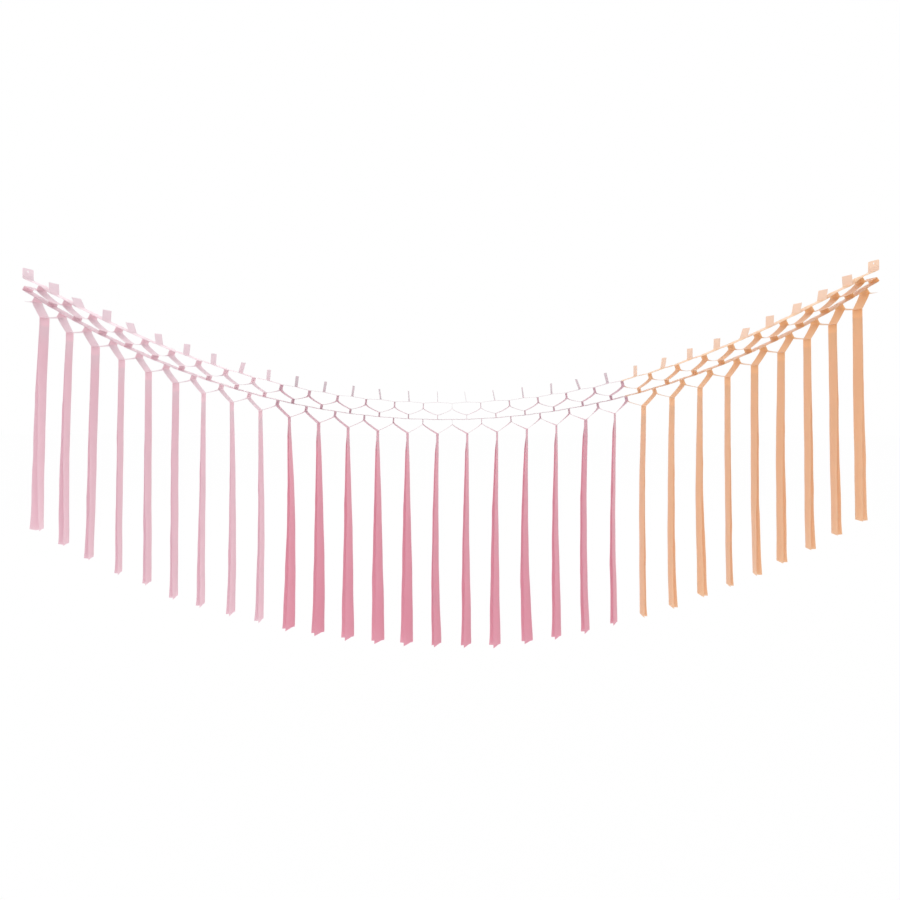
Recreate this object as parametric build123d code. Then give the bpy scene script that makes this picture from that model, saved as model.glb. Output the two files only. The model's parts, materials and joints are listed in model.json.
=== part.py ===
from build123d import *
import os
from math import asinh, pi, radians, sin, sqrt, tan

# A fringe garland of cut paper: a honeycomb net that hangs in a shallow curve, with long tails under it.
# Thirty pairs of upright paper strips make it. The two strips of a pair are glued together at the tab, at the
# middle of the net and at the root, and to the strips of the next pairs at two lines between. Under the root
# the pair hangs free as a tail, which sways about its root crease.
# Millimetres, +X along the garland, +Y away from the viewer, +Z up. The origin is the centre of the left hole.

# The strips
strip_width = 32.0
paper = 0.3
pitch = 67.3
pairs_in_net_node = 3

# The hang of the whole garland, whose right end is pinned a little higher than the left one, so that the lowest
# point of its curve lies to the left of its middle
sag = 300.0
low_point_aside = 23.5

# The net, measured down from the top chord in the middle of the garland
tab_height = 24.5
glue_length = 10.0
row_1_drop = 4.3
row_2_drop = 30.7
row_3_drop = 41.8
root_drop = 75.0
root_glue = 6.0
bend_radius = 4.0
bend_folds = 2

# How much of each drop is lost at the two ends, where the pull draws the net narrow
row_1_pinch_share = 1.0
row_2_pinch_share = 0.32
row_3_pinch_share = 0.26
root_pinch_share = 0.15
pinch_power = 2.5

# How far the pull draws the tabs outwards at the two ends, and how much of that the first row follows
end_reach = 15.0
row_1_reach_share = 0.5
reach_power = 5

# How far each tab leans to the right of upright, in degrees, from the left end to the right
lean_degrees = {
    "blush": [-3, -24, 3, -18, -8, 5, 3, 16, 4],
    "rose": [7, 9, 8, -8, -4, -2, -10, -12, -7, -3, -21, -14],
    "peach": [0, 9, 0, 2, 18, 2, 11, 8, -3],
}

# The tails
tail_length = 490.0
crease_gap = 0.3
tail_glue = 10.0
tail_bow = 2.5
uneven_step = pi * (3 - sqrt(5))
tail_spans = 5

# How far each tail has twisted at its foot, in degrees, from the left end to the right
twist_degrees = {
    "blush": [16, 12, 11, 10, 8, 5, 0, -3, -4],
    "rose": [-27, -35, -36, -34, -40, -34, -36, -38, -43, -43, -35, -37],
    "peach": [2, -2, 5, -5, -9, -8, -8, -8, -8],
}

# How far the two strips of each tail stand apart at the foot
tail_spread = 11.0
spread_shares = {
    "blush": [1.3, 0.8, 0.6, 0.4, 0.5, 0.6, 0.6, 0.6, 0.7],
    "rose": [0.9, 0.9, 1.0, 1.0, 1.0, 0.5, 0.7, 0.9, 0.8, 0.8, 0.7, 0.6],
    "peach": [0.5, 0.6, 0.7, 0.5, 0.9, 0.8, 0.7, 0.7, 0.8],
}

# The stiff card behind the tab at each end
card = 1.2
card_corner = 3.0
end_tab_paper = 10.0
loose_arm = 20.0
hang_hole_radius = 2.5
hang_hole_edge = 6.5

# Worked out from the sizes above
leans = [0] + [degrees for colour in lean_degrees for degrees in lean_degrees[colour]] + [0]
pairs = sum(len(twists) for twists in twist_degrees.values())
half_length = (pairs + 1) / 2 * pitch
curve = (half_length**2 - sag**2) / (2 * sag)
free_tail = tail_length - root_glue - crease_gap - tail_glue


def arc_place(number):
    """The distance along the curve, from its lowest point, of a pair or of a line between two pairs."""
    return number * pitch - half_length + low_point_aside


def chord_point(along):
    """A point of the catenary that the top chord follows."""
    return Vector(curve * asinh(along / curve), sqrt(curve**2 + along**2) - curve)


def chord_direction(along):
    """The way the chord runs there."""
    return Vector(curve, along).normalized()


def pinched(drop, pinch_share, along):
    """A drop of the net at this place, less what the pull at the ends takes from it."""
    return drop * (1 - pinch_share * abs(along / half_length) ** pinch_power)


def reach(number):
    """How far to the side the pull at the ends draws the top of the net, at this pair or between two pairs."""
    return Vector(end_reach * (2 * number / (pairs + 1) - 1) ** reach_power, 0)


def below(along, drop):
    """The point that lies this far under the chord, square to it."""
    return chord_point(along) - chord_direction(along).rotate(Axis.Z, 90) * drop


def glue_line(number, drop, pinch_share, reach_share=0):
    """The upper and lower end of a glued line, at a pair or half way between two pairs."""
    along, aside = arc_place(number), reach(number) * reach_share
    top = pinched(drop, pinch_share, along)
    return below(along, top) + aside, below(along, top + glue_length) + aside


def tab_foot(number):
    """Where the tab of a pair stands on the top chord."""
    return chord_point(arc_place(number)) + reach(number)


def tab_line(number, height):
    """The glued tab of a pair, which stands upright but for its own lean."""
    foot = tab_foot(number)
    return foot + Vector(0, height).rotate(Axis.Z, -leans[number]), foot


def root_point(number):
    """The top of the short glued line from which the tail hangs."""
    along = arc_place(number)
    return below(along, pinched(root_drop, root_pinch_share, along))


def root_line(number):
    """The net's own stretch of the root, straight down."""
    top = root_point(number)
    return top, top - Vector(0, root_glue)


def beside(line, side):
    """The middle of a strip that lies against one side of a glued line: -1 is to its left, 1 to its right."""
    top, bottom = line
    outward = (top - bottom).normalized().rotate(Axis.Z, -90) * (side * paper / 2)
    return [top + outward, bottom + outward]


def bend(before, corner, after):
    """Points on the arc that rounds a soft corner of the paper."""
    arrive, leave = (corner - before).normalized(), (after - corner).normalized()
    turn = arrive.get_angle(leave)
    way = 1 if arrive.cross(leave).Z > 0 else -1
    inward = arrive.rotate(Axis.Z, 90 * way) * bend_radius
    centre = corner - arrive * (bend_radius * tan(radians(turn / 2))) + inward
    return [centre - inward.rotate(Axis.Z, way * turn * i / bend_folds) for i in range(bend_folds + 1)]


def shifted(points, offset):
    """The points of a path moved to its left by offset, with mitred corners."""
    moved = []
    for i, point in enumerate(points):
        before = (point - points[i - 1]).normalized() if i else None
        after = (points[i + 1] - point).normalized() if i + 1 < len(points) else None
        first, second = before or after, after or before
        bisector = (first + second).normalized().rotate(Axis.Z, 90)
        moved.append(point + bisector * (offset / bisector.dot(first.rotate(Axis.Z, 90))))
    return moved


def paper_strip(points, soft):
    """A strip of paper along a path in the XZ plane, rounded at the soft corners and creased at the others."""
    path = []
    for i, point in enumerate(points):
        path += bend(points[i - 1], point, points[i + 1]) if i in soft else [point]
    outline = Polyline(*shifted(path, paper / 2), *reversed(shifted(path, -paper / 2)), close=True)
    return extrude(Plane.XZ * make_face(outline), strip_width / 2, both=True)


def net_path(number, side, tab):
    """The corners of a net strip, from the tab down to its lower end on row 3."""
    between = number + side / 2
    return (
        beside(tab_line(number, tab), side)
        + beside(glue_line(between, row_1_drop, row_1_pinch_share, row_1_reach_share), -side)
        + beside(glue_line(number, row_2_drop, row_2_pinch_share), side)
        + beside(glue_line(between, row_3_drop, row_3_pinch_share), -side)
    )


def net_strip(number, side):
    """One strip of a pair, from its tab to its root."""
    path = net_path(number, side, tab_height) + beside(root_line(number), side)
    return paper_strip(path, soft=(3, 4, 7, 8))


def end_strip(number, side):
    """The single strip at an end of the garland, which is cut off below its last glued line."""
    path = net_path(number, side, end_tab_paper)
    loose_end = path[-1] + (root_point(number) - path[-1]).normalized() * loose_arm
    return paper_strip(path + [loose_end], soft=(3, 4, 7))


def facet(*corners):
    """A flat face through its corners."""
    return Face(Wire.make_polygon(corners))


def folded_sheet(sections):
    """A sheet through a row of sections, whose front and back are folded along the same diagonals.

    The corners of a section are its near left, near right, far right and far left one.
    """
    faces = [facet(*sections[0]), facet(*reversed(sections[-1]))]
    for (a, b, c, d), (e, f, g, h) in zip(sections, sections[1:]):
        for first, second, third, fourth in ((b, f, g, c), (a, d, h, e), (a, e, f, b), (c, g, h, d)):
            faces += [facet(first, second, third), facet(first, third, fourth)]
    return Solid(Shell(faces))


def tail_strip(number, side, twist, spread):
    """One hanging strip of a tail: flat where it is glued to its partner, then slowly twisting and standing off."""
    foot = flat(root_line(number)[1])
    bow = tail_bow * sin(number * uneven_step)
    places = [(0, crease_gap)]
    places += [(step / tail_spans, crease_gap + tail_glue + step / tail_spans * free_tail)
               for step in range(tail_spans + 1)]
    sections = []
    for share, down in places:
        across = side * (paper + spread * share) / 2 + bow * sin(pi * share)
        middle = foot + Vector(across, 0, -down)
        thick = Vector(paper / 2, 0, 0).rotate(Axis.Z, twist * share)
        wide = Vector(0, strip_width / 2, 0).rotate(Axis.Z, twist * share)
        sections.append([middle - thick - wide, middle + thick - wide, middle + thick + wide, middle - thick + wide])
    return folded_sheet(sections)


def card_place(number, side, height):
    """A point of an end card, half way through it and this far above the chord."""
    return flat(tab_foot(number) + Vector(-side * card / 2, height))


def hole_centre(number, side):
    """The middle of the hanging hole in an end card."""
    return card_place(number, side, tab_height - hang_hole_edge)


def end_card(number, side):
    """The card glued to the outer face of an end strip's tab, with the hole that the garland hangs from."""
    face = Plane(origin=card_place(number, side, tab_height / 2), x_dir=(0, 1, 0), z_dir=(1, 0, 0))
    outline = Rectangle(strip_width, tab_height)
    outline = fillet(outline.vertices().sort_by(Axis.Y)[-2:], card_corner)
    hole = Pos(0, tab_height / 2 - hang_hole_edge) * Circle(hang_hole_radius)
    return extrude(face * (outline - hole), card / 2, both=True)


def flat(vector):
    """A vector of the drawing plane as one of the upright XZ plane."""
    return Vector(vector.X, 0, vector.Y)


def save(name, solids):
    """Write one node, moved so that the left hole is the origin."""
    home = Pos(*(hole_centre(0, 1) * -1))
    export_step(home * Compound(children=solids), f"parts/{name}.step")


def save_colour(colour, first):
    """Write the net and the tails of one colour, whose first pair has this number."""
    numbers = range(first, first + len(twist_degrees[colour]))
    for group, start in enumerate(numbers[::pairs_in_net_node], 1):
        members = numbers[start - first:][:pairs_in_net_node]
        save(f"net_{colour}_{group}", [net_strip(number, side) for number in members for side in (-1, 1)])
    for number, twist, share in zip(numbers, twist_degrees[colour], spread_shares[colour]):
        strips = [tail_strip(number, side, twist, share * tail_spread) for side in (-1, 1)]
        save(f"tail_{number:02d}", strips)
    return numbers[-1] + 1


os.makedirs("parts", exist_ok=True)

number = 1
for colour in twist_degrees:
    number = save_colour(colour, number)

save("end_strip_left", [end_strip(0, 1)])
save("end_strip_right", [end_strip(pairs + 1, -1)])
save("end_card_left", [end_card(0, 1)])
save("end_card_right", [end_card(pairs + 1, -1)])
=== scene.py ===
# %% [markdown]
# A fringe garland of cut paper.
# The real thing is a bundle of long paper strips, glued to each other at spots that alternate, so that it opens
# like a honeycomb. Thirty pairs of strips hang in a shallow curve, and under the net each pair goes on as a tail.
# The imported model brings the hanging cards, the mounts and the joints. This script makes the paper itself, as
# sheets that follow the same route, and gives every surface its finish.

import json
from collections import namedtuple
from math import asin, asinh, cos, exp, pi, radians, sin, sqrt

import bpy
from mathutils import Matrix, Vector


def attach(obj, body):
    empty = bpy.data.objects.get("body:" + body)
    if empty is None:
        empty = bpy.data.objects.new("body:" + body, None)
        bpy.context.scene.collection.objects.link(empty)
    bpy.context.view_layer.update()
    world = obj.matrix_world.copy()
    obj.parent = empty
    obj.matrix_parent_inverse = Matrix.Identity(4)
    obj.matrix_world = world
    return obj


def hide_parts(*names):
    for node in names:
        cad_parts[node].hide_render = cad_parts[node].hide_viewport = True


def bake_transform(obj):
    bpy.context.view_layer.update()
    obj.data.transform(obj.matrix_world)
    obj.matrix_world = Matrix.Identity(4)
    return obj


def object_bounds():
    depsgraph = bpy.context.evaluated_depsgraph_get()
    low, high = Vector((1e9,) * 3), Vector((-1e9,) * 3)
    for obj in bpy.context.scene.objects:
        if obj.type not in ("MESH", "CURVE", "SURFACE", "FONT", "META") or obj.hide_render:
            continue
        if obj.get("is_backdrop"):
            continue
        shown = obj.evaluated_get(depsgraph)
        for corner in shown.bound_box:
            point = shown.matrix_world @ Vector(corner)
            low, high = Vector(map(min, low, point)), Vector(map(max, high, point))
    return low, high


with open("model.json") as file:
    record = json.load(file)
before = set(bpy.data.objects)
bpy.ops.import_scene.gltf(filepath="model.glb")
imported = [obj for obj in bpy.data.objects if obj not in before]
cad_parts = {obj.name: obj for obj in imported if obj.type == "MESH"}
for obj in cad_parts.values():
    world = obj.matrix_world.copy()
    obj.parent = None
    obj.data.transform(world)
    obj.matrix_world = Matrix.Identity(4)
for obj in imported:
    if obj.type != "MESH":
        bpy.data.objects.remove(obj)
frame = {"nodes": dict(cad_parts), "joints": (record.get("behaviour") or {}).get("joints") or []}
cad_low, cad_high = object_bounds()
print("packed model:", [round(v, 3) for v in cad_high - cad_low], "m,", len(frame["nodes"]), "nodes")

# %% [markdown]
# An operator acts on everything that is selected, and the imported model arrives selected. So the selection is
# cleared before anything new is added, and an object that an operator is meant for is picked alone, as a click in
# the outliner would pick it.

# %% Clear the selection or pick one object
def deselect():
    bpy.ops.object.select_all(action="DESELECT")


def pick(piece):
    deselect()
    piece.select_set(True)
    bpy.context.view_layer.objects.active = piece


deselect()
print("objects still selected:", len(bpy.context.selected_objects))

# %% [markdown]
# Blender counts in metres, and mm turns a maker's millimetres into them. A strip is 32 mm wide and about as thin
# as writing paper, and each glued spot is 10 mm long. The other sizes come where they are first needed.

# %% The sizes of the paper
mm = 0.001
strip_width = 32 * mm
paper = 0.12 * mm
glue_film = 0.03 * mm
glue_length = 10 * mm
print("paper:", round(strip_width / mm, 1), "mm wide and", round(paper / mm, 2), "mm thick")

# %% [markdown]
# Hand work is never even. Each tab leans its own way, in degrees to the right. Each tail has a shape of its own:
# its twist just under the root and at its foot in degrees, and then, in millimetres, how far its two strips stand
# open at the foot, how far it leans to the right there, how far it bows on the way and how much it was cut too
# long. The lists run from the left end to the right one, by the colour of the paper.

# %% How each pair differs
lean_degrees = {
    "blush": [-3, -24, 3, -18, -8, 5, 3, 16, 4],
    "rose": [7, 9, 8, -8, -4, -2, -10, -12, -7, -3, -21, -14],
    "peach": [0, 9, 0, 2, 18, 2, 11, 8, -3],
}
tail_shapes = {
    "blush": [
        (2, 4, 16.5, -5, -3, 7), (10, 7, 11, -4, -3, 6), (2, 8, 8, -5.5, 0, 5.5),
        (9, 11, 5, 0.5, -1, 9), (5, 2, 6, 4, 0, 4), (1, 1, 6.5, 3, -1, 10.5),
        (9, -2, 7.5, -0.5, 0.5, 5), (7, -8, 7, 4, 3, 3), (4, -9, 8, 3.5, 3, 0)],
    "rose": [
        (6, -33, 10.5, 3.5, 5.5, 2), (0, -42, 10.5, 4, 2.5, 0), (-1, -42, 11.5, 4, 1, 0),
        (-4, -49, 12.5, 4.5, 0.5, 0), (-6, -50, 12, 2.5, 0, 0), (-10, -36, 5.5, 0.5, -3.5, 1),
        (-12, -41, 8, 0.5, -1.5, 3), (-14, -47, 11, -1.5, -2.5, 7), (-19, -52, 9, 2.5, -5, 5),
        (-21, -46, 8.5, 2.5, -2.5, 4), (-32, -42, 7.5, 0.5, -5, 3), (-28, -39, 6.5, -1.5, -3.5, -1)],
    "peach": [
        (0, 4, 5, -3, -3.5, -2.5), (-1, 6, 7, -2, -3, -2.5), (-5, 9, 8.5, 1.5, -4, -6.5),
        (-5, -6, 5.5, 1, -1.5, -4.5), (-1, -5, 10, -0.5, -2, -2), (-4, 1, 9, -3.5, -2.5, -1),
        (-6, -5, 8.5, 1, -0.5, 0.5), (-5, -6, 8.5, 2.5, -0.5, 1), (-2, -2, 10, 2, -1, 4.5)],
}

colour_of = [colour for colour in lean_degrees for _ in lean_degrees[colour]]
leans = [0] + [degrees for colour in lean_degrees for degrees in lean_degrees[colour]] + [0]
shapes = [shape for colour in tail_shapes for shape in tail_shapes[colour]]
pairs = len(colour_of)
print(pairs, "pairs of strips:", {colour: colour_of.count(colour) for colour in lean_degrees})

# %% [markdown]
# A chain or a string of even weight hangs in a catenary, and so does the top edge of this net. Every place on it
# is found by its distance along the curve from the lowest point, because that is what stays the same when the
# paper is hung. The pull at the two ends also draws the tabs a little outwards. Here a flat point is (sideways,
# up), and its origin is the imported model's, the left hole.

# %% The curve that the garland hangs in
pitch = 67.3 * mm
sag = 300 * mm
low_point_aside = 23.5 * mm
end_reach = 15 * mm
reach_power = 5
tab_height = 24.5 * mm
card = 1.2 * mm
hang_hole_edge = 6.5 * mm
half_length = (pairs + 1) / 2 * pitch
curve = (half_length**2 - sag**2) / (2 * sag)


def arc_place(number):
    """How far a pair, or a line between two pairs, lies along the curve from its lowest point."""
    return number * pitch - half_length + low_point_aside


def hanging_point(along):
    return Vector((curve * asinh(along / curve), sqrt(curve**2 + along**2) - curve))


def reach(number):
    """How far the pull at the ends draws the top of the net aside at this pair."""
    return Vector((end_reach * (2 * number / (pairs + 1) - 1) ** reach_power, 0))


home = hanging_point(arc_place(0)) + reach(0) + Vector((-card / 2, tab_height - hang_hole_edge))


def chord_point(along):
    return hanging_point(along) - home


def chord_direction(along):
    return Vector((curve, along)).normalized()


def left_of(direction):
    return Vector((-direction.y, direction.x))


def below(along, drop):
    """The point this far under the curve, square to it."""
    return chord_point(along) - left_of(chord_direction(along)) * drop


print("lowest point of the top edge:", [round(v, 3) for v in chord_point(0)])

# %% [markdown]
# A glued spot holds two strips face to face. Its line runs square to the curve, and near the ends of the garland
# the pull draws the net narrow, so each row lies a little higher there. The middle of a strip lies beside the
# glued line by half the paper and half the film of glue.

# %% The glued lines
row_drops = {1: 4.3 * mm, 2: 30.7 * mm, 3: 41.8 * mm}
row_pinches = {1: 1.0, 2: 0.32, 3: 0.26}
row_reach_shares = {1: 0.5, 2: 0.0, 3: 0.0}
root_drop = 75 * mm
root_pinch = 0.15
pinch_power = 2.5
root_glue = 6 * mm


def pinched(drop, pinch, along):
    return drop * (1 - pinch * abs(along / half_length) ** pinch_power)


def row_line(number, row):
    along, aside = arc_place(number), reach(number) * row_reach_shares[row]
    top = pinched(row_drops[row], row_pinches[row], along)
    return below(along, top) + aside, below(along, top + glue_length) + aside


def tab_line(number, height):
    foot = chord_point(arc_place(number)) + reach(number)
    lean = radians(leans[number])
    return foot + Vector((sin(lean), cos(lean))) * height, foot


def root_top(number):
    along = arc_place(number)
    return below(along, pinched(root_drop, root_pinch, along))


def beside(line, side):
    """The middle of a strip on one side of a glued line: -1 is to its left and 1 to its right."""
    top, bottom = line
    outward = left_of((top - bottom).normalized()) * (-side * (paper + glue_film) / 2)
    return top + outward, bottom + outward


creases = {joint["child"]: Vector(joint["pos_m"]) for joint in frame["joints"]}
miss = (root_top(1) - Vector((0, root_glue)) - Vector((creases["tail_01"].x, creases["tail_01"].z))).length
print("the first root lies", round(miss / mm, 2), "mm from its joint")

# %% [markdown]
# The net is not opened quite evenly from front to back. On both sides of its middle the strips are turned a
# little about the plumb line, and in the middle they are tipped, so that their far edges hang lower. Glued
# neighbours stay face to face, because turn and tip depend only on the place along the garland.

# %% How far the strips fan out and tip
fan_degrees = {9: 4, 21: -5}
fan_reach = 0.22
tip_lift = 1.0 * mm
tip_middle = 0.95
tip_reach = 0.45
tip_power = 4


def fan(across):
    """The turn about the plumb line at this place, in radians."""
    swells = [(degrees, (across - chord_point(arc_place(number)).x) / fan_reach)
              for number, degrees in fan_degrees.items()]
    return radians(sum(degrees * exp(-(away**2)) for degrees, away in swells))


def tip(across):
    """The lift of a strip's near edge, of its middle and of its far edge."""
    lift = tip_lift * exp(-(((across - tip_middle) / tip_reach) ** tip_power))
    return lift, 0.0, -lift


print("turn at the two swells:", {number: round(fan(chord_point(arc_place(number)).x), 3) for number in fan_degrees})

# %% [markdown]
# Between two glued spots a strip is free. Paper leaves a spot along it and then bends over tightly, so a free
# stretch is a Bezier curve whose two short handles lie along the glued lines. The level stretches are pulled taut
# and the slanting arms sag under their own weight. The stretches of one strip are strung together, and each point
# keeps how firmly it is glued and how level it lies.

# %% The route of a strip through the net
Point = namedtuple("Point", "place glued level")
handle = 2.5 * mm
upper_arm_sag = 3 * mm
lower_arm_sag = 1.5 * mm
rows_per_stretch = 14
rows_per_line = 4
glue_fade = 6


def down(line):
    return (line[1] - line[0]).normalized()


def glued_line(start, end, steps):
    return [Point(start.lerp(end, i / steps), 1.0, 0.0) for i in range(1, steps + 1)]


def free_stretch(before, after, sag_depth):
    """The points from one glued line to the next. A stretch that doesn't sag lies level."""
    a, d = before[1], after[0]
    b, c = a + down(before) * handle, d - down(after) * handle
    points = []
    for i in range(1, rows_per_stretch + 1):
        t = i / rows_per_stretch
        s = 1 - t
        place = a * s**3 + b * (3 * s * s * t) + c * (3 * s * t * t) + d * t**3
        hang = sag_depth * 4 * s * t  # all of it half way along
        glued = abs(2 * t - 1) ** glue_fade
        points.append(Point(place - Vector((0, hang)), glued, 0.0 if sag_depth else 1 - glued))
    return points


def net_route(number, side, tab):
    """A strip's points from its tab to row 3, and its glued line there."""
    between = number + side / 2
    lines = [
        beside(tab_line(number, tab), side),
        beside(row_line(between, 1), -side),
        beside(row_line(number, 2), side),
        beside(row_line(between, 3), -side),
    ]
    route = [Point(lines[0][0], 1.0, 0.0)] + glued_line(*lines[0], rows_per_line)
    for before, after, sag_depth in zip(lines, lines[1:], (0, upper_arm_sag, 0)):
        route += free_stretch(before, after, sag_depth) + glued_line(*after, rows_per_line)
    return route, lines[-1]


print("points in a strip's net down to row 3:", len(net_route(1, 1, tab_height)[0]))

# %% [markdown]
# A sheet is laid in rows that cross it from its near edge to its far one. A row has its centre, the turn of its
# line about the plumb line, the way that the paper faces and how far it cups, as a strip does that was cut with a
# blade. It also keeps the point's marks, and the lifts of its near edge, middle and far edge.

# %% The rows of the net
Row = namedtuple("Row", "centre turn normal cup glued level lifts")
cup_height = 0.5 * mm


def upright(flat):
    """A flat point or direction as one of the garland's own plane."""
    return Vector((flat.x, 0, flat.y))


def net_rows(route, side, turned_from=0, last_turn=0.0):
    """The rows of a route through the net. From one of them on, the strip also turns towards its tail."""
    rows = []
    for j, (place, glued, level) in enumerate(route):
        before, after = route[max(j - 1, 0)].place, route[min(j + 1, len(route) - 1)].place
        normal = upright(left_of((after - before).normalized()))
        turn = fan(place.x) + last_turn * min(1.0, max(0.0, (j - turned_from) / rows_per_stretch))
        cup = cup_height * (1 - glued) * side
        rows.append(Row(upright(place), turn, normal, cup, glued, level, tip(place.x)))
    return rows


print("rows of the first strip's net:", len(net_rows(net_route(1, 1, tab_height)[0], 1)))

# %% [markdown]
# Below the root the pair hangs as a tail. It begins to turn in the arms above the root. Paper that was folded flat
# in its packet never hangs quite straight, so the pair wanders by a smooth wave, and two shallow folds stay in it.
# The feet were cut a little slantwise. Each cut is given, in millimetres, at the near edge, the middle and the far
# edge, first for the strip that flares outwards at the foot and then for its partner.

# %% How a tail turns, folds, waves and ends
turn_at_root = 0.85
fold_shares = (0.34, 0.7)
fold_reach = 0.05
wave_parts = ((0.65, 1.7, 0.37), (0.35, 4.3, 0.61))  # height, waves in a tail, shift from tail to tail
wave_power = 0.5
flared_side = {"blush": -1, "rose": -1, "peach": 1}
cut_start = 0.96
flared_cuts = {"blush": (5, -2, -3), "rose": (3, -2, -3), "peach": (3, -3, -4)}
partner_cuts = {"blush": (0, 0, 0), "rose": (0, 0, 0), "peach": (0, -2, -4)}


def root_turn(number):
    """How far a pair has turned at its root, beyond the net there, on the way to the twist of its tail."""
    return turn_at_root * (radians(shapes[number - 1][0]) - fan(root_top(number).x))


def fold_bump(share):
    return sum(max(0.0, 1 - abs(share - fold) / fold_reach) for fold in fold_shares)


def wave(share, seed):
    """A slow and a quick swell together, which grow from nothing at the root."""
    swell = sum(height * sin(2 * pi * (count * share + shift * seed)) for height, count, shift in wave_parts)
    return swell * share**wave_power


def flared(number, side):
    return side == flared_side[colour_of[number - 1]]


def past(start, share):
    """How much of the way from this start to the foot is behind, from 0 to 1."""
    return max(0.0, (share - start) / (1 - start))


def tail_lifts(number, side, share, across):
    """The lifts across a tail strip: the tip of the net, which fades, and at its foot the slanting cut."""
    cuts = (flared_cuts if flared(number, side) else partner_cuts)[colour_of[number - 1]]
    return [tipped * (1 - share) + cut * mm * past(cut_start, share) for tipped, cut in zip(tip(across), cuts)]


print("turn at the root of the first, the middle and the last tail:",
      [round(root_turn(number), 3) for number in (1, pairs // 2, pairs)])

# %% [markdown]
# The two strips of a tail stay glued for a little way. Then they twist about the plumb line and open towards the
# front like the covers of a book, more and more towards the foot. Within the first twentieth of its length a tail
# comes to its own twist, and the rose ones spring open there. The middle of each strip stands off the tail's own
# line, so that the two strips meet at their far edges only.

# %% The rows of a tail
tail_glue = 10 * mm
tail_length = 490 * mm
rows_in_tail = 72
settled = 0.05
sprung = {"blush": 0, "rose": 2.5 * mm, "peach": 0}
fold_height = 0.6 * mm
wave_height = 0.7 * mm
opening_wave = 0.2
opening_shift = 0.5
flare = 1.5 * mm
flare_start = 0.92
flare_power = 1.5
cup_reach = 0.25


def tail_opening(number, side, share, spread):
    """How far apart the near edges of the two strips stand, if both did as this one does."""
    opening = spread * mm * share * (1 + opening_wave * wave(share, number + opening_shift))
    opening += sprung[colour_of[number - 1]] * min(1.0, share / settled) * (1 - share)
    opening += 2 * fold_height * fold_bump(share)
    if flared(number, side):
        opening += 2 * flare * past(flare_start, share) ** flare_power
    return opening


def tail_rows(number, side):
    first_twist, last_twist, spread, lean, bow, extra = shapes[number - 1]
    root = root_top(number) - Vector((0, root_glue))
    free_tail = tail_length - root_glue - tail_glue + extra * mm
    held = fan(root.x) + root_turn(number)
    rows = []
    for i in range(1, rows_in_tail + 1):
        share = i / rows_in_tail
        free_twist = radians(first_twist + (last_twist - first_twist) * share)
        twist = held + (free_twist - held) * min(1.0, share / settled)
        half_angle = asin(tail_opening(number, side, share, spread) / 2 / strip_width)
        off = side * (paper + glue_film + strip_width * sin(half_angle)) / 2
        aside = (lean * share + bow * sin(pi * share)) * mm + wave_height * wave(share, number)
        height = root.y - tail_glue - share * free_tail
        centre = Vector((root.x + aside + off * cos(twist), off * sin(twist), height))
        turn = twist + side * half_angle
        cup = cup_height * side * min(1.0, share / cup_reach)
        lifts = tail_lifts(number, side, share, root.x)
        rows.append(Row(centre, turn, Vector((cos(turn), sin(turn), 0)), cup, 0.0, 0.0, lifts))
    return rows


print("foot of the first tail:", [round(v, 3) for v in tail_rows(1, -1)[-1].centre])

# %% [markdown]
# One strip is one sheet of paper, so it is one grid. A cloth simulation could hang it, but it would not come out
# the same each time. So the grid is added flat with the primitive operator and then laid along its route, row by
# row, as paper would be: every row keeps its width.

# %% Lay a sheet along its route
columns = 6


def new_grid(name, row_count):
    deselect()
    bpy.ops.mesh.primitive_grid_add(x_subdivisions=columns, y_subdivisions=row_count - 1, size=1)
    sheet = bpy.context.object
    sheet.name = sheet.data.name = name
    return sheet


def lay_rows(sheet, rows):
    """Move the grid's rows to their places, and return how far along the strip each one lies."""
    lengths = [0.0]
    for before, after in zip(rows, rows[1:]):
        lengths.append(lengths[-1] + (after.centre - before.centre).length)
    verts = sheet.data.vertices
    for j, row in enumerate(rows):
        near, inside, far = row.lifts
        across = Vector((-sin(row.turn), cos(row.turn), 0))
        for i in range(columns + 1):
            u = 2 * i / columns - 1
            lift = near + (inside - near) * (u + 1) if u < 0 else inside + (far - inside) * u
            place = row.centre + across * (u * strip_width / 2) + row.normal * (row.cup * (1 - u * u))
            verts[j * (columns + 1) + i].co = place + Vector((0, 0, lift))
    return lengths


print("a sheet has", columns, "columns of faces")

# %% [markdown]
# The sheet's own map is in metres, so that grain and marks keep their real size. A second map says where the
# sheet is glued and how far along it a place lies, and a third one where it lies level. The Solidify modifier
# gives the sheet the thickness of the paper, half to each side.

# %% Map the sheet and give it its thickness
smooth_degrees = 50


def map_sheet(sheet, rows, lengths):
    flat_map = sheet.data.uv_layers[0]
    flat_map.name = "Flat"
    marks = sheet.data.uv_layers.new(name="Marks")
    levels = sheet.data.uv_layers.new(name="Levels")
    for loop in sheet.data.loops:
        j, i = divmod(loop.vertex_index, columns + 1)
        flat_map.data[loop.index].uv = (i / columns * strip_width, lengths[j])
        marks.data[loop.index].uv = (rows[j].glued, lengths[j] / tail_length)
        levels.data[loop.index].uv = (rows[j].level, 0)
    flat_map.active = flat_map.active_render = True


def thicken(sheet, thickness):
    pick(sheet)
    solid = sheet.modifiers.new("thickness", "SOLIDIFY")
    solid.thickness, solid.offset = thickness, 0
    bpy.ops.object.modifier_apply(modifier=solid.name)
    bpy.ops.object.shade_smooth_by_angle(angle=radians(smooth_degrees))


def make_sheet(name, rows):
    sheet = new_grid(name, len(rows))
    lengths = lay_rows(sheet, rows)
    map_sheet(sheet, rows, lengths)
    thicken(sheet, paper)
    return sheet, lengths[-1]


print("edges flatter than", smooth_degrees, "degrees are shaded smooth")

# %% [markdown]
# Now the pairs. Each strip goes from its tab through the net to its root and on to its foot without a cut.

# %% Make the sixty strips
pairs_in_net_node = 3


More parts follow.
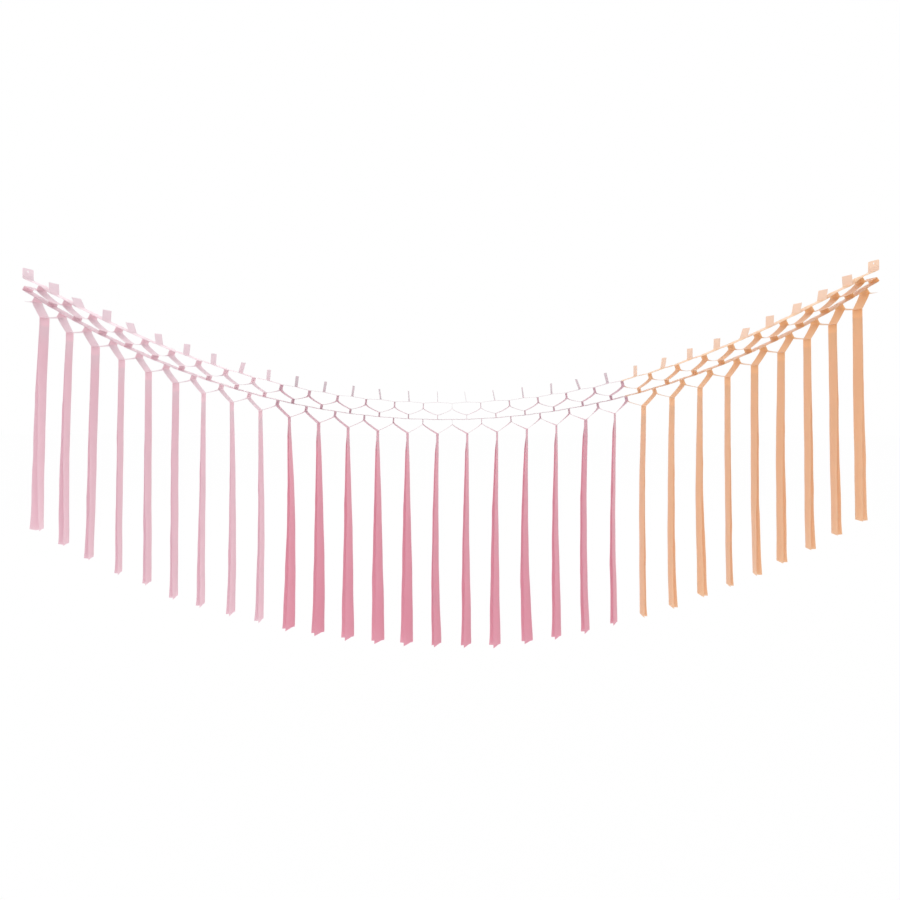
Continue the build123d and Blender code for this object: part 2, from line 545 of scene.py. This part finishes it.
def pair_strip(number, side):
    route, last = net_route(number, side, tab_height)
    top = root_top(number)
    root = beside((top, top - Vector((0, root_glue + tail_glue))), side)
    turned_from = len(route)
    route += free_stretch(last, root, lower_arm_sag) + glued_line(*root, 2 * rows_per_line)
    return net_rows(route, side, turned_from, root_turn(number)) + tail_rows(number, side)


sheets = []
for number, colour in enumerate(colour_of, 1):
    tail = f"tail_{number:02d}"
    group = (number - 1 - colour_of.index(colour)) // pairs_in_net_node + 1
    net_node = f"net_{colour}_{group}"
    for side, hand in ((-1, "left"), (1, "right")):
        sheet, length = make_sheet(f"strip_{number:02d}_{hand}", pair_strip(number, side))
        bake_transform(sheet)
        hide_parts(net_node, tail)
        sheets.append((sheet, colour, length))
strip_lengths = [length for _, _, length in sheets]
print(len(sheets), "strips,", round(min(strip_lengths), 3), "to", round(max(strip_lengths), 3), "m long")

# %% [markdown]
# At each end of the garland one strip is left over. It has no partner and no tail, and it is cut off a little way
# below its last glued spot. Its tab is shorter, because a card carries it.

# %% Make the two end strips
end_tab_paper = 10 * mm
loose_arm = 20 * mm


def end_strip(name, number, side, colour):
    route, last = net_route(number, side, end_tab_paper)
    way = (root_top(number) - last[1]).normalized()
    loose_end = last[1] + way * loose_arm
    route += free_stretch(last, (loose_end, loose_end + way), 0)
    sheet, length = make_sheet(name, net_rows(route, side))
    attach(sheet, "net")
    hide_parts(name.replace("paper_", ""))
    sheets.append((sheet, colour, length))
    print(name, round(length, 3), "m long")


end_strip("paper_end_strip_left", 0, 1, "blush")
end_strip("paper_end_strip_right", pairs + 1, -1, "peach")

# %% [markdown]
# Sums in a shader read best as sums. This small class wraps a socket, so that ordinary arithmetic adds the Math
# nodes, and one method makes any other node from its type, its settings and the values of its sockets. The rest
# are short names for the few nodes that come up again and again.

# %% Shader sums
class Value:
    def __init__(self, finish, socket):
        self.finish, self.socket = finish, socket

    def __add__(self, other):
        return self.finish.maths("ADD", self, other)

    def __sub__(self, other):
        return self.finish.maths("SUBTRACT", self, other)

    def __rsub__(self, other):
        return self.finish.maths("SUBTRACT", other, self)

    def __mul__(self, other):
        return self.finish.maths("MULTIPLY", self, other)

    __radd__ = __add__
    __rmul__ = __mul__


class Finish:
    """The nodes of a material or a world."""

    def __init__(self, owner):
        owner.use_nodes = True
        self.tree = owner.node_tree
        self.tree.nodes.clear()

    def node(self, kind, settings=None, values=None, output=0):
        node = self.tree.nodes.new(kind)
        for name, setting in (settings or {}).items():
            setattr(node, name, setting)
        for name, value in (values or {}).items():
            if isinstance(value, Value):
                self.tree.links.new(value.socket, node.inputs[name])
            else:
                node.inputs[name].default_value = value
        return Value(self, node.outputs[output]) if node.outputs else None

    def maths(self, operation, first, second):
        return self.node("ShaderNodeMath", {"operation": operation}, {0: first, 1: second})

    def mix(self, factor, first, second, blend="MIX"):
        return self.node("ShaderNodeMix", {"data_type": "RGBA", "blend_type": blend},
                         {0: factor, 6: first, 7: second}, output=2)

    def part(self, uv_map, which):
        """One number of a map's two."""
        return self.node("ShaderNodeSeparateXYZ", values={0: uv_map}, output=which)

    def ramp(self, value, start, end):
        """0 up to the start, 1 from the end on and even between them."""
        return self.node("ShaderNodeMapRange", values={0: value, 1: start, 2: end})

    def noise(self, place, scale, detail):
        return self.node("ShaderNodeTexNoise", values={"Vector": place, "Scale": scale, "Detail": detail})

    def shaded(self, colour, shade):
        """A colour times a number that varies around 1."""
        grey = self.node("ShaderNodeCombineColor", values={0: shade, 1: shade, 2: shade})
        return self.mix(1.0, colour, grey, "MULTIPLY")


print("a shader sum can add, subtract and multiply")

# %% [markdown]
# Thin paper changes its colour with the light that falls on it and through it. Here that light and shade is painted
# into the colour: each colour of paper has a lit or shaded copy for its tab, its net, its glued spots, its level
# stretches and its tail, and the marks in the sheet's maps mix them. How far along the strip the tab and the net end
# is given in tail lengths, as the map has it.

# %% The paper's painted light and shade
paper_shades = {
    "blush": {"tab": (236, 215, 222), "net": (247, 231, 236), "spot": (255, 199, 211),
              "level": (248, 221, 229), "tail": (243, 214, 222), "through": (254, 240, 245)},
    "rose": {"tab": (208, 188, 196), "net": (228, 182, 197), "spot": (218, 168, 186),
             "level": (230, 218, 223), "tail": (237, 171, 190), "through": (254, 226, 234)},
    "peach": {"tab": (240, 208, 184), "net": (246, 197, 137), "spot": (255, 205, 134),
              "level": (246, 199, 140), "tail": (243, 203, 157), "through": (255, 238, 222)},
}
tab_fade = (0.045, 0.06)
net_fade = (0.36, 0.55)
# How far the glued spots take their painted light and shade.
painted_spot_strength = 0.45
# How far the level stretches take their painted highlight and shade.
painted_level_strength = 0.8


def srgb(red, green, blue):
    """A colour as a picture editor gives it, from 0 to 255, made linear."""
    shades = [value / 255 for value in (red, green, blue)]
    return tuple(((s + 0.055) / 1.055) ** 2.4 if s > 0.04045 else s / 12.92 for s in shades) + (1.0,)


def paper_marks(finish):
    """How firmly a place is glued, how level it lies, and whether the tab and the net are behind it."""
    marks = finish.node("ShaderNodeUVMap", {"uv_map": "Marks"})
    levels = finish.node("ShaderNodeUVMap", {"uv_map": "Levels"})
    along = finish.part(marks, 1)
    return finish.part(marks, 0), finish.part(levels, 0), finish.ramp(along, *tab_fade), finish.ramp(along, *net_fade)


# The paper's colour with its painted light and shade: a lit or shaded copy for each place, mixed by the marks.
def paper_colour_with_painted_light(finish, shades, glued, level, past_tab, past_net):
    base = finish.mix(glued * painted_spot_strength, shades["net"], shades["spot"])
    base = finish.mix(past_tab, shades["tab"], base)
    base = finish.mix(past_net, base, shades["tail"])
    return finish.mix(level * painted_level_strength, base, shades["level"])


print("papers:", sorted(paper_shades))

# %% [markdown]
# The paper has soft clouds and fine fibres, both at their real size on the flat map. A painted shade darkens it
# along its two cut edges, most of all where it lies level, and a painted light lifts its glued places. Pictures of
# paper could give the grain too, but noise on the flat map has no seams and doesn't repeat.

# %% The paper's grain and painted shade
cloud_scale = 28
fibre_scale = (2600, 420, 1)
crumple_scale = 160
cloud_strength = 0.08
fibre_strength = 0.08
plain_shade = 0.93
edge_width = 7 * mm
# The cut edges get a painted shade, deeper where the paper lies level.
edge_painted_shade = 0.05
level_edge_painted_shade = 0.2
# Glued places get a painted light.
glued_painted_light = 0.12
fibre_height = 0.05


def paper_grain(finish, glued, level):
    """The paper's shade, around 1, from its grain with a painted shade and light, and its bumps."""
    flat = finish.node("ShaderNodeUVMap", {"uv_map": "Flat"})
    sideways = finish.part(flat, 0)
    edge = 1 - finish.ramp(finish.maths("MINIMUM", sideways, strip_width - sideways), 0.0, edge_width)
    stretched = finish.node("ShaderNodeMapping", values={"Vector": flat, "Scale": fibre_scale})
    clouds = finish.noise(flat, cloud_scale, detail=3.0)
    fibres = finish.noise(stretched, scale=1.0, detail=4.0)
    shade = clouds * cloud_strength + fibres * fibre_strength + plain_shade
    # A painted shade along the cut edges, deeper where level, and a painted light on the glued places.
    shade = shade - edge * (level * level_edge_painted_shade + edge_painted_shade) + glued * glued_painted_light
    height = fibres * fibre_height + finish.noise(flat, crumple_scale, detail=2.0)
    bump = finish.node("ShaderNodeBump", values={"Height": height, "Strength": 0.15, "Distance": 0.3 * mm})
    return shade, bump


print("the darker edge of the paper is", round(edge_width / mm, 1), "mm wide")

# %% [markdown]
# Most of the light is thrown back by the Principled shader, and the rest comes through by the Translucent one, as
# it does in real paper held against a lamp. A see-through alpha would show what lies behind, which paper doesn't.
# The tails let more light through than the net and have a thin gloss.

# %% The paper's finish
net_glow = 0.25
tail_glow = 0.27
tail_gloss = 0.7


def paper_finish(colour):
    shades = {place: srgb(*shade) for place, shade in paper_shades[colour].items()}
    material = bpy.data.materials.new(f"{colour}_paper")
    finish = Finish(material)
    glued, level, past_tab, past_net = paper_marks(finish)
    shade, bump = paper_grain(finish, glued, level)
    base = finish.shaded(paper_colour_with_painted_light(finish, shades, glued, level, past_tab, past_net), shade)
    front = finish.node("ShaderNodeBsdfPrincipled", values={
        "Base Color": base, "Roughness": 0.45, "Specular IOR Level": 1.0, "Sheen Weight": 0.8,
        "Sheen Roughness": 0.3, "Coat Weight": past_net * tail_gloss, "Coat Roughness": 0.2, "Normal": bump})
    through = finish.node("ShaderNodeBsdfTranslucent", values={"Color": shades["through"]})
    both = finish.node("ShaderNodeMixShader", values={0: net_glow + past_net * tail_glow, 1: front, 2: through})
    finish.node("ShaderNodeOutputMaterial", values={"Surface": both})
    return material


paper_materials = {colour: paper_finish(colour) for colour in paper_shades}
for sheet, colour, _ in sheets:
    sheet.data.materials.clear()
    sheet.data.materials.append(paper_materials[colour])
print("paper finishes:", [material.name for material in paper_materials.values()])

# %% [markdown]
# The end cards are die-cut board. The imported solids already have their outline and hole, so they keep them and
# get a finish: coloured liner on the faces, with the flecks and faint grain of board.

# %% The card's finish
fleck_scale = 120
board_grain_scale = 2200
fleck_strength = 0.08
board_grain_strength = 0.10
board_shade = 0.90


def card_finish(colour):
    material = bpy.data.materials.new(f"{colour}_card")
    finish = Finish(material)
    place = finish.node("ShaderNodeTexCoord", output="Object")
    flecks = finish.noise(place, fleck_scale, detail=3.0)
    grain = finish.noise(place, board_grain_scale, detail=3.0)
    shade = flecks * fleck_strength + grain * board_grain_strength + board_shade
    # The card takes the tab's colour, with its painted light and shade.
    base = finish.shaded(srgb(*paper_shades[colour]["tab"]), shade)
    bump = finish.node("ShaderNodeBump", values={"Height": grain, "Strength": 0.3, "Distance": 0.2 * mm})
    board = finish.node("ShaderNodeBsdfPrincipled", values={
        "Base Color": base, "Roughness": 0.7, "Specular IOR Level": 0.35, "Normal": bump})
    finish.node("ShaderNodeOutputMaterial", values={"Surface": board})
    return material


for end, colour in (("left", "blush"), ("right", "peach")):
    node = frame["nodes"][f"end_card_{end}"]
    node.data.materials.clear()
    node.data.materials.append(card_finish(colour))
    print(node.name, "has the finish", node.data.materials[0].name)

# %% [markdown]
# The garland hangs in the air, so its floor is some way under it. The sky is plain white at a strength of 1,
# which lights the paper at a plain level. The floor glows white for the camera, in a mirror and through glass. All
# other light meets a pale matt floor, so that it adds little light of its own and still keeps a faint shadow.

# %% The floor and the sky
floor_drop = 0.35
floor_size = 14
floor_shade = 0.86
floor_glow = 0.96
white = (1, 1, 1, 1)


def floor_finish():
    material = bpy.data.materials.new("pale_floor")
    finish = Finish(material)
    camera_ray, glossy_ray, glass_ray = [finish.node("ShaderNodeLightPath", output=ray) for ray in (
        "Is Camera Ray", "Is Glossy Ray", "Is Transmission Ray")]
    seen = finish.maths("MINIMUM", camera_ray + glossy_ray + glass_ray, 1.0)
    pale = finish.node("ShaderNodeBsdfDiffuse", values={"Color": (floor_shade, floor_shade, floor_shade, 1)})
    bright = finish.node("ShaderNodeEmission", values={"Color": white, "Strength": 1.0})
    surface = finish.node("ShaderNodeMixShader", values={0: seen * floor_glow, 1: pale, 2: bright})
    finish.node("ShaderNodeOutputMaterial", values={"Surface": surface})
    return material


middle = (cad_low + cad_high) / 2
deselect()
bpy.ops.mesh.primitive_plane_add(size=floor_size, location=(middle.x, 0, cad_low.z - floor_drop))
floor = bpy.context.object
floor.name = "floor"
floor.data.materials.append(floor_finish())
floor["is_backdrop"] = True

world = bpy.data.worlds.new("studio")
bpy.context.scene.world = world
sky = Finish(world)
bright_sky = sky.node("ShaderNodeBackground", values={"Color": white, "Strength": 1.0})
sky.node("ShaderNodeOutputWorld", values={"Surface": bright_sky})
print("the floor is at", round(floor.location.z, 3), "m")

# %% [markdown]
# One large soft lamp from the front left gives the paper a lit side, and two behind it shine through the sheets.
# Area lamps are used because the larger a lamp is, the softer its shadows are. A sun or a spot lamp would throw
# hard shadows of the net onto the tails.

# %% The lamps
lamp_size = 2.0
front_power = 20
back_power = 14


def soft_lamp(name, place, power):
    deselect()
    bpy.ops.object.light_add(type="AREA", location=place)
    lamp = bpy.context.object
    lamp.name = name
    lamp.data.size, lamp.data.energy = lamp_size, power
    lamp.rotation_euler = (middle - Vector(place)).to_track_quat("-Z", "Y").to_euler()
    print(name, power, "W")


soft_lamp("front_lamp", (-1.0, -2.6, 1.6), front_power)
soft_lamp("back_lamp_left", (-1.0, 2.4, 1.2), back_power)
soft_lamp("back_lamp_right", (3.0, 2.4, 1.2), back_power)

# %% [markdown]
# The camera stands where the photograph was taken from: level with the net, in front of its middle, and close, so
# that the sheets open to view towards both ends. Its lens and the place of its optical centre are given in pixels
# of a square picture, as they were measured.

# %% The camera
eye = Vector((1.0040, -1.255, -0.2301))
pitch_degrees = 0.94
roll_degrees = 0.16
sensor_width = 36
focal_pixels = 532
picture_pixels = 900
optical_centre = (452.2, 361.3)

deselect()
bpy.ops.object.camera_add(location=eye, rotation=(radians(90 + pitch_degrees), -radians(roll_degrees), 0))
camera = bpy.context.object
camera.data.sensor_width = sensor_width
camera.data.lens = focal_pixels / picture_pixels * sensor_width
camera.data.shift_x = (picture_pixels / 2 - optical_centre[0]) / picture_pixels
camera.data.shift_y = (optical_centre[1] - picture_pixels / 2) / picture_pixels
bpy.context.scene.camera = camera
bpy.context.scene.view_settings.view_transform = "Standard"
print("lens", round(camera.data.lens, 2), "mm, shift", round(camera.data.shift_x, 4), round(camera.data.shift_y, 4))

# %% [markdown]
# Last, the size of what shows is printed beside the size of the imported model, so that the two can be compared.

# %% Print the sizes and finish
low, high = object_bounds()
boxes = {"cad": [list(cad_low), list(cad_high)], "visual": [list(low), list(high)]}
for name, corners in boxes.items():
    print(name, [[round(v, 4) for v in corner] for corner in corners])
